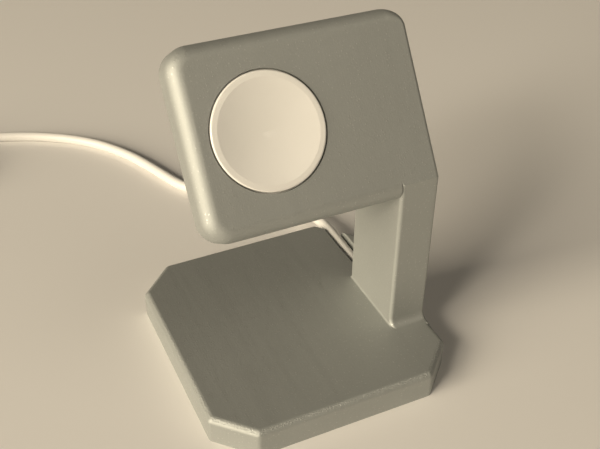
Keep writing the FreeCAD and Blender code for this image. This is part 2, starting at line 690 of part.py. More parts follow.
def cable(label, points, radii=None):
    """A round cable along a route, as one closed solid."""
    spine, used = route(points, radii)
    radius = number("sizes.cable_radius")
    ring = Part.Wire(Part.makeCircle(radius, points[0], points[1] - points[0]))
    solid = spine.makePipeShell([ring], True, False)
    piece = doc.addObject("Part::Feature", label)
    piece.Label = label
    piece.Shape = solid
    section = math.pi * radius * radius
    print(label, "length", round(spine.Length, 1), "bends", [round(bend, 1) for bend in used],
          "volume to section times length", round(solid.Volume / (section * spine.Length), 4))
    return piece


def on_head(x, slope, depth):
    """A point given in the head's own frame."""
    tilt = math.radians(number("sizes.tilt"))
    return FreeCAD.Vector(
        x,
        -number("sizes.post_front") + slope * math.sin(tilt) + depth * math.cos(tilt),
        number("sizes.crease_height") + slope * math.cos(tilt) - depth * math.sin(tilt))


def make_cable_in_dock():
    """The cable from the boot across the head, down the post and out of the base's back corner."""
    x, depth = number(POST_MIDDLE), number("sizes.cable_depth")
    y, z, slope = number(CABLE_Y), number(CABLE_Z), number(PUCK_SLOPE)
    tilt = math.radians(number("sizes.tilt"))
    knee = (y + number("sizes.post_front") - depth * math.cos(tilt)) / math.sin(tilt)
    boot_end = number(PUCK_X) + number("sizes.puck_radius") + number("sizes.boot_length")
    points = [
        on_head(boot_end, slope, depth),
        on_head(x, slope, depth),
        on_head(x, knee, depth),
        FreeCAD.Vector(x, y, z),
        FreeCAD.Vector(x, number(BACK_AT_POST), z),
    ]
    radii = [number("sizes.turn_radius"), number("sizes.knee_radius"), number("sizes.foot_radius")]
    return cable("cable_in_dock", points, radii)


def coil_point(angle, radius, height):
    """A point on the coil, at an angle in degrees about its middle."""
    turn = math.radians(angle)
    return FreeCAD.Vector(number("sizes.coil_centre_x") + radius * math.cos(turn),
                          number("sizes.coil_centre_y") + radius * math.sin(turn), height)


def coil_heading(angle):
    """The way that the cable runs at an angle of the coil, which is wound anticlockwise."""
    turn = math.radians(angle)
    return FreeCAD.Vector(-math.sin(turn), math.cos(turn), 0)


ENTRY_ANGLE = number("sizes.coil_entry_angle")
EXIT_ANGLE = number("sizes.coil_exit_angle")


def make_cable_run():
    """The cable on the table, from the dock's back corner to the coil."""
    lying = number("sizes.cable_radius")
    outlet = FreeCAD.Vector(number(POST_MIDDLE), number(BACK_AT_POST), number(CABLE_Z))
    clear = FreeCAD.Vector(outlet.x, outlet.y + number("sizes.cable_lead"), outlet.z)
    on_table = [(22.8, 46.3), (13.6, 55.8), (-2.6, 69.4), (-7.0, 81.2), (-12.6, 95.2),
                (-22.5, 109.0), (-37.8, 119.2), (-55.5, 125.4)]
    points = [outlet, clear] + [FreeCAD.Vector(x, y, lying) for x, y in on_table]
    joins = coil_point(ENTRY_ANGLE, number("sizes.coil_turn_radius"), lying)
    points.append(joins - coil_heading(ENTRY_ANGLE) * number("sizes.coil_stub"))
    return cable("cable_run", points)


def make_cable_coil():
    """The coiled length as one ring, with a straight stub where the cable joins and leaves."""
    radius = number("sizes.cable_radius")
    outer_turn = number("sizes.coil_turn_radius")
    width = (number("sizes.coil_turns_deep") + 1) * 2 * radius
    height = number("sizes.coil_layers") * 2 * radius
    middle = FreeCAD.Vector(number("sizes.coil_centre_x"), number("sizes.coil_centre_y"), 0)
    outside = outer_turn + radius
    ring = Part.makeCylinder(outside, height, middle)
    ring = ring.cut(Part.makeCylinder(outside - width, height, middle))
    circles = [edge for edge in ring.Edges if isinstance(edge.Curve, Part.Circle)]
    ring = ring.makeChamfer(number("sizes.coil_edge"), circles)
    stub = number("sizes.coil_stub")
    joins = coil_point(ENTRY_ANGLE, outer_turn, radius)
    leaves = coil_point(EXIT_ANGLE, outer_turn, height - radius)
    into = Part.makeCylinder(radius, stub, joins - coil_heading(ENTRY_ANGLE) * stub,
                             coil_heading(ENTRY_ANGLE))
    out = Part.makeCylinder(radius, stub, leaves, coil_heading(EXIT_ANGLE))
    piece = doc.addObject("Part::Feature", "cable_coil")
    piece.Label = "cable_coil"
    piece.Shape = ring.fuse([into, out]).removeSplitter()
    return piece


def tail_end():
    """Where the plug's boot meets the cable."""
    start = coil_point(EXIT_ANGLE, number("sizes.coil_turn_radius"), number("sizes.plug_axis"))
    reach = number("sizes.coil_stub") + number("sizes.tail_length")
    return start + coil_heading(EXIT_ANGLE) * reach


def make_cable_tail():
    """The short end of the cable, down from the coil's upper layer to the plug."""
    high = (number("sizes.coil_layers") * 2 - 1) * number("sizes.cable_radius")
    away = coil_heading(EXIT_ANGLE)
    start = coil_point(EXIT_ANGLE, number("sizes.coil_turn_radius"), high)
    start = start + away * number("sizes.coil_stub")
    end = tail_end()
    third = number("sizes.tail_length") / 3
    return cable("cable_tail", [start, start + away * third, end - away * third, end])


def lay_on_plug(piece, distance, x="0", z="0"):
    """Places a piece on the plug, which points along -Y, at a distance past the boot's start."""
    end = tail_end()
    piece.Placement = FreeCAD.Placement(
        FreeCAD.Vector(end.x, end.y, end.z), FreeCAD.Rotation(X_AXIS, 90))
    piece.setExpression(
        "Placement.Base.x", f"sizes.coil_centre_x - sizes.coil_turn_radius + {x}")
    piece.setExpression(
        "Placement.Base.y",
        f"sizes.coil_centre_y - sizes.coil_stub - sizes.tail_length - ({distance})")
    piece.setExpression("Placement.Base.z", f"sizes.plug_axis + {z}")
    return piece


def rounded_bar(label, width, height, length, rounding, end_bevel=None):
    """A bar along the plug, with its four long edges rounded and, given a size, its ends bevelled."""
    body = new_body(label)
    w, t = f"({width}) / 2", f"({height}) / 2"
    corners = [(f"-{w}", f"-{t}"), (w, f"-{t}"), (w, t), (f"-{w}", t)]
    bar = pad(body, f"{label}_pad", outline(body, f"{label}_end", "XY_Plane", corners), length)
    bar = dress(body, "Fillet", f"{label}_round", bar,
                lambda edge, middle: runs_along(edge, Z_AXIS), rounding)
    if end_bevel:
        far = number(length)
        dress(body, "Chamfer", f"{label}_ends", bar,
              lambda edge, middle: near(middle.z, 0) or near(middle.z, far), end_bevel)
    return body


def make_plug():
    """The plug: boot, grip, metal shell, slotted insert and contacts."""
    boot = primitive("Cone", "plug_strain_relief", Radius1="sizes.plug_boot_tip",
                     Radius2="sizes.plug_boot_root", Height="sizes.plug_boot_length")
    lay_on_plug(boot, "0")
    grip_start = "sizes.plug_boot_length"
    mouth = f"{grip_start} + sizes.grip_length"
    pocket_start = f"{mouth} - sizes.shell_root"

    grip_bar = rounded_bar("grip_bar", "sizes.grip_width", "sizes.grip_height",
                           "sizes.grip_length", "sizes.grip_rounding", "sizes.grip_end_bevel")
    grip_pocket = rounded_bar("grip_pocket", "sizes.shell_width", "sizes.shell_height",
                              f"sizes.shell_root + {LAP}", "sizes.shell_rounding")
    grip = combine("Cut", "plug_grip", lay_on_plug(grip_bar, grip_start),
                   lay_on_plug(grip_pocket, pocket_start))

    inner_width = "sizes.shell_width - sizes.shell_wall * 2"
    inner_height = "sizes.shell_height - sizes.shell_wall * 2"
    shell_reach = "sizes.shell_root + sizes.shell_length"
    shell_bar = rounded_bar("shell_bar", "sizes.shell_width", "sizes.shell_height", shell_reach,
                            "sizes.shell_rounding")
    shell_bore = rounded_bar("shell_bore", inner_width, inner_height, f"{shell_reach} + {LAP} * 2",
                             "sizes.shell_rounding - sizes.shell_wall")
    shell = combine("Cut", "plug_shell", lay_on_plug(shell_bar, pocket_start),
                    lay_on_plug(shell_bore, f"{pocket_start} - {LAP}"))

    insert_bar = rounded_bar("insert_bar", f"{inner_width} - sizes.insert_fit * 2",
                             f"{inner_height} - sizes.insert_fit * 2",
                             f"{shell_reach} - sizes.insert_recess",
                             "sizes.shell_rounding - sizes.shell_wall - sizes.insert_fit")
    slot = rounded_bar("insert_slot", "sizes.slot_width", "sizes.slot_height",
                       f"sizes.slot_depth + {LAP}", "sizes.slot_edge")
    front = f"{mouth} + sizes.shell_length - sizes.insert_recess"
    insert = combine("Cut", "plug_insert", lay_on_plug(insert_bar, pocket_start),
                     lay_on_plug(slot, f"{front} - sizes.slot_depth"))
    return [boot, grip, shell, insert, make_contacts(front)]


def make_contacts(front):
    """A row of contacts on each side of the insert's slot, as one group."""
    contacts = []
    count = int(number("sizes.contact_count"))
    floor = "-sizes.slot_height / 2"
    ceiling = "sizes.slot_height / 2 - sizes.contact_height"
    start = f"{front} - sizes.contact_inset - sizes.contact_length"
    for low in (floor, ceiling):
        for index in range(count):
            offset = index - (count - 1) / 2
            bar = primitive("Box", f"contact_{len(contacts) + 1}", Length="sizes.contact_width",
                            Width="sizes.contact_height", Height="sizes.contact_length")
            x = f"{offset} * sizes.contact_pitch - sizes.contact_width / 2"
            contacts.append(lay_on_plug(bar, start, x, low))
    return combine("MultiFuse", "plug_contacts", *contacts)


nodes = [make_stand(), make_puck_housing(), make_charging_face(), *make_puck_inside(), make_boot(),
         make_cable_in_dock(), make_cable_run(), make_cable_coil(), make_cable_tail(), *make_plug()]
doc.recompute()

for thing in doc.Objects:
    if "Invalid" in thing.State or "Error" in thing.State:
        raise RuntimeError(f"{thing.Label} has failed: {thing.State}")
for node in nodes:
    if node.Shape.isNull() or not node.Shape.isValid() or not node.Shape.Solids:
        raise RuntimeError(f"{node.Label} is not a valid solid")

os.makedirs("parts", exist_ok=True)
for node in nodes:
    node.Shape.exportStep(f"parts/{node.Label}.step")
    print(node.Label, "solids", len(node.Shape.Solids), "volume", round(node.Shape.Volume, 2))
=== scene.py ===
"""The looks of a smartwatch charging dock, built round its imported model.

The dock is one printed piece: a base plate, a post and a head plate. A round magnetic puck sits in
the head, and its cable runs down the post and lies behind the dock, where its spare length is coiled.
Every piece is in metres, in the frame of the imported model.
"""

import json
import logging
import math
from collections.abc import Callable
from dataclasses import dataclass
from enum import Enum

import bmesh
import bpy
from mathutils import Matrix, Vector

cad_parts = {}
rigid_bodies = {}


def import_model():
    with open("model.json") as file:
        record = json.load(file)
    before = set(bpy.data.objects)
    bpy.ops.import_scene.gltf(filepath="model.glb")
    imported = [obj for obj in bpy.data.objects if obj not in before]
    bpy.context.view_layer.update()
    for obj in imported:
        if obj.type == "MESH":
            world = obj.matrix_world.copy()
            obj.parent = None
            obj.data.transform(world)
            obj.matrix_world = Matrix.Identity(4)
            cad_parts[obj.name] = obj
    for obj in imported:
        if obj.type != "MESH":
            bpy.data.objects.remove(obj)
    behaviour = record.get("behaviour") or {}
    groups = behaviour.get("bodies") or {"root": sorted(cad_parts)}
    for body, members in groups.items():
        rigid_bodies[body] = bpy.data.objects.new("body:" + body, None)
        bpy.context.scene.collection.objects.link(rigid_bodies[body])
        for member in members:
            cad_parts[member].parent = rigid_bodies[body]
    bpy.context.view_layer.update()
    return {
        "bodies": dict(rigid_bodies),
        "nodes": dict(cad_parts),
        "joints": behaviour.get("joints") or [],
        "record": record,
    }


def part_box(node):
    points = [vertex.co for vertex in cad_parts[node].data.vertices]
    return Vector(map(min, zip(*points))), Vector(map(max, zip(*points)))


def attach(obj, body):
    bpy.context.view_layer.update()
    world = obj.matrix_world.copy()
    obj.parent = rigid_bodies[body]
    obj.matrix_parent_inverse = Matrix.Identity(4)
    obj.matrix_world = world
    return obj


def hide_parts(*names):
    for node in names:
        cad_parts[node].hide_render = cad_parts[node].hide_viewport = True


LOG = logging.getLogger("watch_dock")
MM = 0.001
Colour = tuple[float, float, float]
Point = tuple[float, float, float]
Span = tuple[float, float]
Node = bpy.types.Node
Socket = bpy.types.NodeSocket
Tree = bpy.types.NodeTree


class Slot(Enum):
    """The record's material slots."""

    PRINT = "print"
    PUCK_METAL = "puck_metal"
    PUCK_FACE = "puck_face"
    COPPER = "copper"
    FERRITE = "ferrite"
    MAGNET = "magnet"
    STEEL = "steel"
    BOARD = "board"
    CHIP = "chip"
    PAD = "pad"
    CABLE = "cable_white"
    PLUG_WHITE = "plug_white"
    PLUG_STEEL = "plug_steel"
    INSERT = "insert"
    GOLD = "gold"


class Sheet:
    """A node tree with short ways to add nodes and to wire them."""

    # sockets of the Mix node that hold its share and its two colours, and the one that gives the mix
    MIX_SHARE = 0
    MIX_COLOURS = (6, 7)
    MIX_RESULT = 2

    def __init__(self, tree: Tree) -> None:
        """Keeps the tree that the nodes go into."""
        self.tree = tree

    def feed(self, socket: Socket, value: object) -> None:
        """Links an input to a node's output, or sets its plain value.

        Args:
            socket: the input.
            value: an output socket, or what the input is set to.
        """
        if isinstance(value, Socket):
            self.tree.links.new(value, socket)
        else:
            socket.default_value = value

    def add(self, kind: str, inputs: dict[str | int, object] | None = None, **settings: object) -> Node:
        """Adds a node.

        Args:
            kind: the node's type name.
            inputs: socket name or number to a plain value or an output socket.
            settings: properties of the node itself.

        Returns:
            The new node.
        """
        node = self.tree.nodes.new(kind)
        for name, value in settings.items():
            setattr(node, name, value)
        for key, value in (inputs or {}).items():
            self.feed(node.inputs[key], value)
        return node

    def maths(self, operation: str, first: float | Socket, second: float | Socket = 0.0) -> Socket:
        """Adds a Math node on two values or sockets and returns its output."""
        return self.add("ShaderNodeMath", {0: first, 1: second}, operation=operation).outputs[0]

    def plus(self, total: float | Socket, value: float | Socket, times: float | Socket) -> Socket:
        """Adds a value, multiplied by a factor, to a total."""
        return self.maths("ADD", total, self.maths("MULTIPLY", value, times))

    def blend(self, share: float | Socket, low: Colour | Socket, high: Colour | Socket) -> Socket:
        """Mixes two colours.

        Args:
            share: how much there is of the second colour, from 0 to 1.
            low: the first colour.
            high: the second colour.

        Returns:
            The mixed colour.
        """
        node = self.add("ShaderNodeMix", {self.MIX_SHARE: share}, data_type="RGBA")
        for index, colour in zip(self.MIX_COLOURS, (low, high)):
            self.feed(node.inputs[index], colour if isinstance(colour, Socket) else (*colour, 1.0))
        return node.outputs[self.MIX_RESULT]

    def remap(self, value: Socket, old: Span = (0.0, 1.0), new: Span = (0.0, 1.0)) -> Socket:
        """Maps a value from one range to another.

        Args:
            value: the value. What lies outside the old range is held at its ends.
            old: the range that it comes from.
            new: the range that it goes to.

        Returns:
            The mapped value.
        """
        node = self.add("ShaderNodeMapRange", {
            "Value": value, "From Min": old[0], "From Max": old[1], "To Min": new[0], "To Max": new[1]})
        return node.outputs[0]


class GroupKit:
    """The shader node groups that several finishes share, each built once."""

    # waves and streaks for each metre, along X, Y and Z, and the part of the streaks' noise that shows
    WAVES_PER_METRE = 60.0
    STREAKS_PER_METRE = (900.0, 25.0, 25.0)
    STREAK_NOISE = (0.32, 0.68)

    # cells for each width of the grain, a speck's soft rim in cells, and the share of cells with none
    CELLS_PER_GRAIN = 0.6
    SPECK_RIM = (0.12, 0.38)
    EMPTY_CELLS = 0.80

    @staticmethod
    def shared(name: str, inputs: dict[str, float],
               wire: Callable[[Sheet, Node], dict[str, Socket]]) -> Tree:
        """Finds a group, or builds it.

        Args:
            name: the group's name.
            inputs: names of the value inputs and what they start at.
            wire: adds the nodes, given the sheet and the input node, and returns the outputs by name.

        Returns:
            The group.
        """
        found = bpy.data.node_groups.get(name)
        if found:
            return found
        group = bpy.data.node_groups.new(name, "ShaderNodeTree")
        group.interface.new_socket("Vector", in_out="INPUT", socket_type="NodeSocketVector")
        for label, value in inputs.items():
            socket = group.interface.new_socket(label, in_out="INPUT", socket_type="NodeSocketFloat")
            socket.default_value = value
        sheet = Sheet(group)
        results = wire(sheet, sheet.add("NodeGroupInput"))
        for label in results:
            group.interface.new_socket(label, in_out="OUTPUT", socket_type="NodeSocketFloat")
        sheet.add("NodeGroupOutput", results)
        return group

    @classmethod
    def layers(cls) -> Tree:
        """The print's layers, stacked along X: a ridge for each one, and a tone of its own."""
        return cls.shared("print_layers", {"Pitch": 0.2 * MM, "Waver": 0.1}, cls.wire_layers)

    @classmethod
    def wire_layers(cls, sheet: Sheet, start: Node) -> dict[str, Socket]:
        """Counts the layers along X, and streaks them.

        Args:
            sheet: the group's tree.
            start: its input node.

        Returns:
            Ridge, a bow over each layer. Tone, a number of its own for each. Band, long streaks.
        """
        given = start.outputs
        along = sheet.add("ShaderNodeSeparateXYZ", {0: given["Vector"]}).outputs
        drift = sheet.add("ShaderNodeTexNoise", {
            "Vector": given["Vector"], "Scale": cls.WAVES_PER_METRE, "Detail": 2.0})
        count = sheet.maths("DIVIDE", along["X"], given["Pitch"])
        count = sheet.plus(count, drift.outputs[0], given["Waver"])
        phase = sheet.maths("FRACT", count)
        bow = sheet.maths("SUBTRACT", sheet.maths("MULTIPLY", phase, 2.0), 1.0)
        ridge = sheet.maths("SUBTRACT", 1.0, sheet.maths("MULTIPLY", bow, bow))
        layer = sheet.maths("FLOOR", count)
        tone = sheet.add("ShaderNodeTexWhiteNoise", {"W": layer}, noise_dimensions="1D").outputs[0]
        scaled = [sheet.maths("MULTIPLY", part, scale) for part, scale in zip(along, cls.STREAKS_PER_METRE)]
        stretched = sheet.add("ShaderNodeCombineXYZ", dict(enumerate(scaled))).outputs[0]
        streaks = sheet.add("ShaderNodeTexNoise", {"Vector": stretched, "Scale": 1.0, "Detail": 3.0})
        return {"Ridge": ridge, "Tone": tone, "Band": sheet.remap(streaks.outputs[0], old=cls.STREAK_NOISE)}

    @classmethod
    def grain(cls) -> Tree:
        """A fine uneven grain, its bright specks, and a slow cloud of handling."""
        return cls.shared("fine_grain", {"Size": 0.3 * MM, "Cloud": 12 * MM}, cls.wire_grain)

    @classmethod
    def wire_grain(cls, sheet: Sheet, start: Node) -> dict[str, Socket]:
        """Adds two noises, one fine and one slow, and the specks.

        Args:
            sheet: the group's tree.
            start: its input node.

        Returns:
            Height, the grain. Speck, 1 on a speck. Cloud, the slow noise.
        """
        given = start.outputs
        fine = sheet.add("ShaderNodeTexNoise", {
            "Vector": given["Vector"], "Scale": sheet.maths("DIVIDE", 1.0, given["Size"]), "Detail": 3.0})
        cells = sheet.add("ShaderNodeTexVoronoi", {
            "Vector": given["Vector"], "Scale": sheet.maths("DIVIDE", cls.CELLS_PER_GRAIN, given["Size"])})
        near = sheet.remap(cells.outputs["Distance"], old=cls.SPECK_RIM, new=(1.0, 0.0))
        chosen = sheet.add("ShaderNodeSeparateXYZ", {0: cells.outputs["Color"]}).outputs[0]
        speck = sheet.maths("MULTIPLY", near, sheet.maths("GREATER_THAN", chosen, cls.EMPTY_CELLS))
        cloud = sheet.add("ShaderNodeTexNoise", {
            "Vector": given["Vector"], "Scale": sheet.maths("DIVIDE", 1.0, given["Cloud"]), "Detail": 4.0})
        return {"Height": fine.outputs[0], "Speck": speck, "Cloud": cloud.outputs[0]}


@dataclass(frozen=True)
class Finish:
    """A finish with an even colour that clouds a little, and a fine grain."""

    name: str
    colour: Colour
    shade: Colour
    roughness: float
    metallic: float = 0.0
    coat: float = 0.0
    coat_roughness: float = 0.25
    grain_size: float = 0.25 * MM
    grain_depth: float = 0.004 * MM
    cloud_size: float = 10 * MM
    uneven: float = 0.08

    def build(self) -> bpy.types.Material:
        """Makes the material, once.

        Returns:
            The material.
        """
        found = bpy.data.materials.get(self.name)
        if found:
            return found
        material = bpy.data.materials.new(self.name)
        material.use_nodes = True
        material.node_tree.nodes.clear()
        sheet = Sheet(material.node_tree)
        place = sheet.add("ShaderNodeTexCoord").outputs["Object"]
        grain = sheet.add("ShaderNodeGroup", {
            "Vector": place, "Size": self.grain_size, "Cloud": self.cloud_size}, node_tree=GroupKit.grain())
        shader = sheet.add("ShaderNodeBsdfPrincipled", {
            "Metallic": self.metallic, "Coat Weight": self.coat, "Coat Roughness": self.coat_roughness})
        self.paint(sheet, place, grain, shader)
        sheet.add("ShaderNodeOutputMaterial", {0: shader.outputs[0]})
        return material

    def rough_span(self) -> Span:
        """The least and the most roughness."""
        return self.roughness - self.uneven, self.roughness + self.uneven

    def paint(self, sheet: Sheet, place: Socket, grain: Node, shader: Node) -> None:
        """Wires colour, roughness and relief into the shader.

        Args:
            sheet: the material's tree.
            place: the Object coordinates.
            grain: the shared grain group.
            shader: the Principled BSDF.
        """
        cloud = grain.outputs["Cloud"]
        sheet.feed(shader.inputs["Base Color"], sheet.blend(cloud, self.colour, self.shade))
        sheet.feed(shader.inputs["Roughness"], sheet.remap(cloud, new=self.rough_span()))
        self.emboss(sheet, self.relief(sheet, place, grain), shader)

    def relief(self, sheet: Sheet, place: Socket, grain: Node) -> Socket:
        """The height of the surface in metres. This finish has only its grain."""
        return sheet.maths("MULTIPLY", grain.outputs["Height"], self.grain_depth)

    @staticmethod
    def emboss(sheet: Sheet, height: Socket, shader: Node) -> None:
        """Feeds a height in metres to the shader's normal."""
        bump = sheet.add("ShaderNodeBump", {"Height": height, "Distance": 1.0})
        sheet.feed(shader.inputs["Normal"], bump.outputs[0])


@dataclass(frozen=True)
class SilkPrint(Finish):
    """Silk print filament: a soft metallic sheen over fine layers that are stacked along X."""

    pitch: float = 0.2 * MM
    ridge_depth: float = 0.0022 * MM
    waver: float = 0.15
    streak: Colour = (0.70, 0.72, 0.70)
    streak_share: float = 0.03
    mottle: float = 0.12
    fleck: Colour = (0.95, 0.94, 0.90)
    fleck_share: float = 0.13
    fleck_gloss: float = 0.30
    fleck_height: float = 0.02 * MM
    middle_tone: float = 0.5

    def paint(self, sheet: Sheet, place: Socket, grain: Node, shader: Node) -> None:
        """Wires the layers' tones and ridges, and the pigment's flecks, into the shader.

        Args:
            sheet: the material's tree.
            place: the Object coordinates.
            grain: the shared grain group.
            shader: the Principled BSDF.
        """
        layers = sheet.add("ShaderNodeGroup", {
            "Vector": place, "Pitch": self.pitch, "Waver": self.waver}, node_tree=GroupKit.layers())
        tone, band, ridge = (layers.outputs[name] for name in ("Tone", "Band", "Ridge"))
        speck = grain.outputs["Speck"]

        base = sheet.blend(grain.outputs["Cloud"], self.colour, self.shade)
        for mask, share, colour in ((band, self.streak_share, self.streak),
                                    (grain.outputs["Height"], self.mottle, self.fleck),
                                    (speck, self.fleck_share, self.fleck)):
            base = sheet.blend(sheet.maths("MULTIPLY", mask, share), base, colour)
        sheet.feed(shader.inputs["Base Color"], base)

        rough = sheet.remap(band, new=self.rough_span())
        rough = sheet.plus(rough, sheet.maths("SUBTRACT", tone, self.middle_tone), self.uneven)
        rough = sheet.maths("SUBTRACT", rough, sheet.maths("MULTIPLY", speck, self.fleck_gloss))
        sheet.feed(shader.inputs["Roughness"], rough)

        height = sheet.maths("MULTIPLY", ridge, self.ridge_depth)
        height = sheet.plus(height, tone, self.ridge_depth)
        height = sheet.plus(height, speck, self.fleck_height)
        height = sheet.maths("ADD", height, self.relief(sheet, place, grain))
        self.emboss(sheet, height, shader)


@dataclass(frozen=True)
class Turned(Finish):
    """A metal or pressed piece with very fine rings about the puck's axis."""

    ring_pitch: float = 0.12 * MM
    ring_depth: float = 0.001 * MM
    centre: Point = (0.0, 0.0, 0.0)
    tilt: float = 0.0

    # keeps what lies across the axis, once the axis is turned to Y
    across_axis: Point = (1.0, 0.0, 1.0)

    def relief(self, sheet: Sheet, place: Socket, grain: Node) -> Socket:
        """Adds the rings to the grain.

        Args:
            sheet: the material's tree.
            place: the Object coordinates.
            grain: the shared grain group.

        Returns:
            The height of the surface in metres.
        """
        moved = sheet.add("ShaderNodeVectorMath", {0: place, 1: self.centre}, operation="SUBTRACT")
        turned = sheet.add("ShaderNodeVectorRotate", {"Vector": moved.outputs[0], "Angle": self.tilt},
                           rotation_type="X_AXIS")
        flat = sheet.add("ShaderNodeVectorMath", {0: turned.outputs[0], 1: self.across_axis},
                         operation="MULTIPLY")
        radius = sheet.add("ShaderNodeVectorMath", {0: flat.outputs[0]}, operation="LENGTH")
        turns = sheet.maths("MULTIPLY", radius.outputs["Value"], 2 * math.pi / self.ring_pitch)
        rings = sheet.maths("MULTIPLY", sheet.maths("SINE", turns), self.ring_depth)
        return sheet.maths("ADD", rings, super().relief(sheet, place, grain))


@dataclass(frozen=True)
class PuckAxis:
    """Where the puck's axis is and how far it leans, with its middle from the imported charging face."""

    tilt: float = math.radians(34.4)

    def centre(self) -> Vector:
        """The middle of the charging face's box."""
        low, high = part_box("charging_face")
        return (low + high) / 2

    def lean(self) -> Matrix:
        """Turns what is made flat about Z to the puck's axis."""
        return Matrix.Rotation(math.pi / 2 - self.tilt, 4, "X")


def finishes() -> dict[Slot, Finish]:
    """Lists the finishes, each with its name, its two clouding colours and its roughness first.

    Returns:
        The finish of each material slot.
    """
    centre = tuple(PuckAxis().centre())
    tilt = PuckAxis().tilt
    return {
        Slot.PRINT: SilkPrint("silk_print", (0.43, 0.450, 0.440), (0.39, 0.408, 0.398), 0.65,
                              metallic=0.72, grain_size=0.34 * MM, grain_depth=0.025 * MM,
                              cloud_size=18 * MM, uneven=0.015),
        Slot.PUCK_METAL: Turned("blasted_aluminium", (0.80, 0.80, 0.79), (0.74, 0.74, 0.73), 0.33,
                                metallic=1.0, grain_size=0.12 * MM, grain_depth=0.004 * MM,
                                centre=centre, tilt=tilt),
        Slot.PUCK_FACE: Finish("gloss_white_face", (0.90, 0.89, 0.86), (0.86, 0.85, 0.82), 0.16,
                               coat=0.4, grain_depth=0.0008 * MM, uneven=0.04),
        Slot.COPPER: Finish("enamelled_copper", (0.80, 0.42, 0.24), (0.62, 0.30, 0.16), 0.30,
                            metallic=1.0, coat=0.3, grain_size=0.5 * MM),
        Slot.FERRITE: Turned("pressed_ferrite", (0.06, 0.06, 0.065), (0.10, 0.10, 0.10), 0.55,
                             metallic=0.3, centre=centre, tilt=tilt),
        Slot.MAGNET: Turned("nickel_plate", (0.72, 0.71, 0.68), (0.66, 0.65, 0.62), 0.18,
                            metallic=1.0, centre=centre, tilt=tilt),
        Slot.STEEL: Turned("drawn_steel", (0.62, 0.62, 0.62), (0.55, 0.55, 0.56), 0.32,
                           metallic=1.0, centre=centre, tilt=tilt),
        Slot.BOARD: Finish("solder_mask", (0.03, 0.20, 0.09), (0.02, 0.14, 0.06), 0.28,
                           coat=0.3, grain_size=0.4 * MM, cloud_size=3 * MM),
        Slot.CHIP: Finish("moulded_black", (0.02, 0.02, 0.022), (0.04, 0.04, 0.04), 0.50),
        Slot.PAD: Finish("foam_tape", (0.30, 0.30, 0.31), (0.22, 0.22, 0.23), 0.85,
                         grain_size=0.4 * MM, grain_depth=0.06 * MM),
        Slot.CABLE: Finish("cable_jacket", (0.89, 0.88, 0.86), (0.84, 0.83, 0.80), 0.42,
                           grain_size=0.2 * MM, grain_depth=0.002 * MM, cloud_size=25 * MM),
        Slot.PLUG_WHITE: Finish("moulded_white", (0.87, 0.86, 0.82), (0.82, 0.81, 0.77), 0.34,
                                grain_size=0.18 * MM, grain_depth=0.003 * MM),
        Slot.PLUG_STEEL: Finish("tumbled_steel", (0.66, 0.66, 0.66), (0.58, 0.58, 0.58), 0.26,
                                metallic=1.0, cloud_size=2 * MM),
        Slot.INSERT: Finish("insert_black", (0.03, 0.03, 0.03), (0.05, 0.05, 0.05), 0.45),
        Slot.GOLD: Finish("gold_plate", (0.86, 0.62, 0.24), (0.75, 0.52, 0.18), 0.22, metallic=1.0),
    }


def mesh_of(piece: bpy.types.Object) -> bpy.types.Mesh:
    """The piece's mesh with its modifiers applied."""
    graph = bpy.context.evaluated_depsgraph_get()
    return bpy.data.meshes.new_from_object(piece.evaluated_get(graph), depsgraph=graph)


def place_piece(name: str, mesh: bpy.types.Mesh) -> bpy.types.Object:
    """Links a mesh into the scene as a piece at the origin.

    Args:
        name: the piece's name.
        mesh: its mesh, with its place in it.

    Returns:
        The piece.
    """
    piece = bpy.data.objects.new(name, mesh)
    bpy.context.scene.collection.objects.link(piece)
    return piece


def smooth_by_angle(mesh: bpy.types.Mesh, angle: float) -> None:
    """Smooths a mesh, and keeps the edges that turn by more than an angle sharp."""
    mesh.polygons.foreach_set("use_smooth", [True] * len(mesh.polygons))
    mesh.set_sharp_from_angle(angle=angle)


def dress_node(frame: dict, node: str, finish: Finish) -> None:
    """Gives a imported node's own object a finish.

    Args:
        node: the node's name.
        finish: the finish that it gets.
    """
    for slot in frame["nodes"][node].material_slots:
        slot.material = finish.build()
    LOG.info("%s is dressed as %s", node, finish.name)


